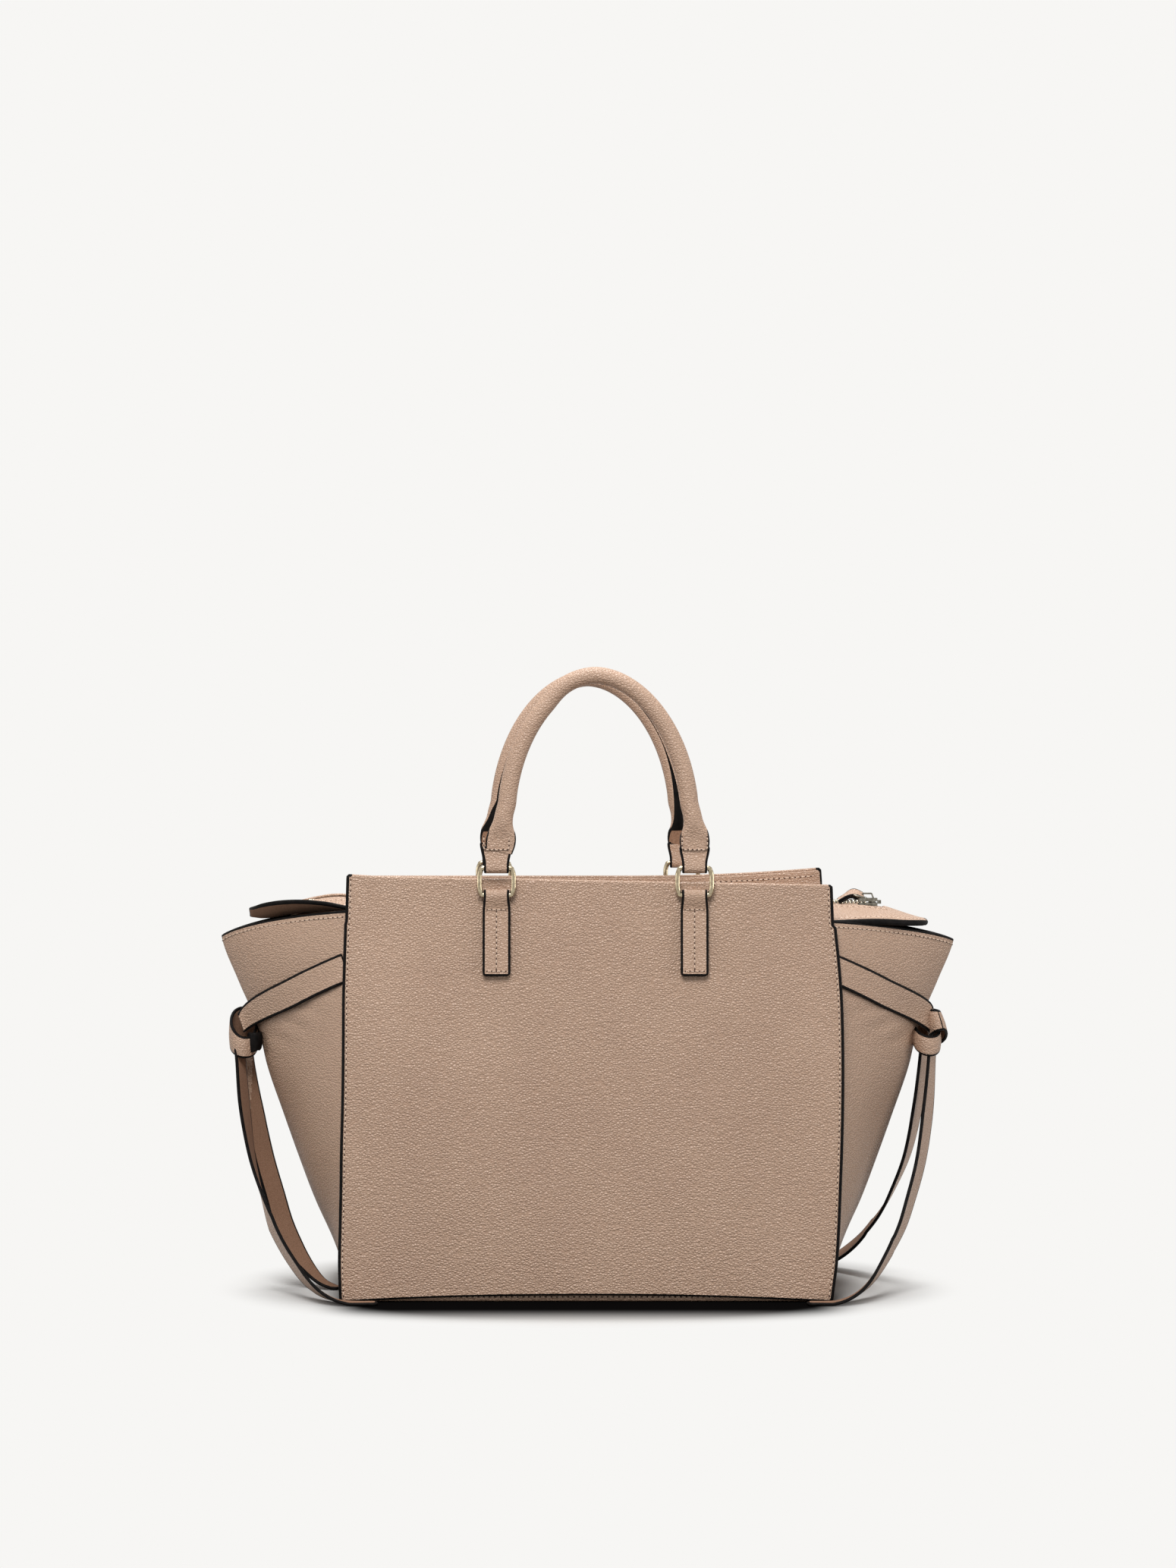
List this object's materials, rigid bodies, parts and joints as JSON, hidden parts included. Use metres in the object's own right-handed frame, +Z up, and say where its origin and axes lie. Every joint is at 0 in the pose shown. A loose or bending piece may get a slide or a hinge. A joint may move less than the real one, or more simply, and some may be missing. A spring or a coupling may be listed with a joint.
{
  "type": "tote bag",
  "caption": "Structured leather tote bag with a zip top, rolled handles on metal rings, and folded side wings drawn in by knotted ties.",
  "frame": {"origin": "on the floor under the middle of the bag", "axes": "+X to the right seen from the front, -Y towards the front panel, +Z up"},
  "size_m": [0.4988, 0.1882, 0.4178],
  "materials": {
    "pebbled_leather": "pebbled, satin, dark painted edges",
    "woven_lining": "matt woven",
    "zip_tape": "matt herringbone tape",
    "pale_brass": "polished pale gold plating",
    "zip_teeth_metal": "dark polished metal",
    "base_fibreboard": "raw compressed fibre"
  },
  "bodies": {
    "bag": {"front_panel": "pebbled_leather", "rear_panel": "pebbled_leather", "left_gusset": "pebbled_leather", "right_gusset": "pebbled_leather", "base_panel": "pebbled_leather", "front_left_tab": "pebbled_leather", "front_right_tab": "pebbled_leather", "rear_left_tab": "pebbled_leather", "rear_right_tab": "pebbled_leather", "left_zip_tongue": "pebbled_leather", "right_zip_tongue": "pebbled_leather", "front_left_tie": "pebbled_leather", "rear_left_tie": "pebbled_leather", "front_right_tie": "pebbled_leather", "rear_right_tie": "pebbled_leather", "front_facing": "pebbled_leather", "rear_facing": "pebbled_leather", "front_lining": "woven_lining", "rear_lining": "woven_lining", "left_gusset_lining": "woven_lining", "right_gusset_lining": "woven_lining", "base_lining": "woven_lining", "slip_pocket": "woven_lining", "zip_bottom_stop": "pale_brass", "front_zip_top_stop": "pale_brass", "rear_zip_top_stop": "pale_brass", "base_board": "base_fibreboard"},
    "front_rings": {"front_left_ring": "pale_brass", "front_right_ring": "pale_brass"},
    "front_grip": {"front_handle": "pebbled_leather"},
    "rear_rings": {"rear_left_ring": "pale_brass", "rear_right_ring": "pale_brass"},
    "rear_grip": {"rear_handle": "pebbled_leather"},
    "slider": {"zip_slider": "pale_brass"},
    "pull_ring": {"zip_pull_ring": "pale_brass"},
    "pull_tab": {"zip_pull_tab": "pebbled_leather"},
    "front_flap": {"front_zip_flap": "pebbled_leather", "front_zip_tape": "zip_tape", "front_zip_teeth": "zip_teeth_metal"},
    "rear_flap": {"rear_zip_flap": "pebbled_leather", "rear_zip_tape": "zip_tape", "rear_zip_teeth": "zip_teeth_metal"}
  },
  "joints": [
    {"name": "front_rings_tilt", "type": "hinge", "parent": "bag", "child": "front_rings", "pos_m": [0.005, -0.06261, 0.2674], "axis": [1, 0, 0], "range_deg": [-8, 80]},
    {"name": "front_handle_swing", "type": "hinge", "parent": "front_rings", "child": "front_grip", "pos_m": [0.005, -0.06261, 0.2852], "axis": [1, 0, 0], "range_deg": [-15, 85]},
    {"name": "rear_rings_tilt", "type": "hinge", "parent": "bag", "child": "rear_rings", "pos_m": [0, 0.06261, 0.2674], "axis": [-1, 0, 0], "range_deg": [-8, 80]},
    {"name": "rear_handle_swing", "type": "hinge", "parent": "rear_rings", "child": "rear_grip", "pos_m": [0, 0.06261, 0.2852], "axis": [-1, 0, 0], "range_deg": [-15, 85]},
    {"name": "zip_slide", "type": "slide", "parent": "bag", "child": "slider", "axis": [-1, 0, 0], "range_m": [0, 0.352]},
    {"name": "zip_pull_ring_turn", "type": "hinge", "parent": "slider", "child": "pull_ring", "pos_m": [0.188, 0, 0.2644], "axis": [0, 1, 0], "range_deg": [0, 140]},
    {"name": "zip_pull_tab_turn", "type": "hinge", "parent": "pull_ring", "child": "pull_tab", "pos_m": [0.178, 0, 0.2644], "axis": [0, 1, 0], "range_deg": [0, 25]},
    {"name": "front_flap_fold", "type": "hinge", "parent": "bag", "child": "front_flap", "pos_m": [0, -0.05394, 0.253], "axis": [1, 0, 0], "range_deg": [0, 60], "deforming": ["front_zip_tape", "front_zip_teeth"]},
    {"name": "rear_flap_fold", "type": "hinge", "parent": "bag", "child": "rear_flap", "pos_m": [0, 0.05394, 0.253], "axis": [-1, 0, 0], "range_deg": [0, 60], "deforming": ["rear_zip_tape", "rear_zip_teeth"]}
  ],
  "couplings": [
    {"joint": "front_flap_fold", "follows": "zip_slide", "rad_per_m": 2.975},
    {"joint": "rear_flap_fold", "follows": "zip_slide", "rad_per_m": 2.975}
  ]
}
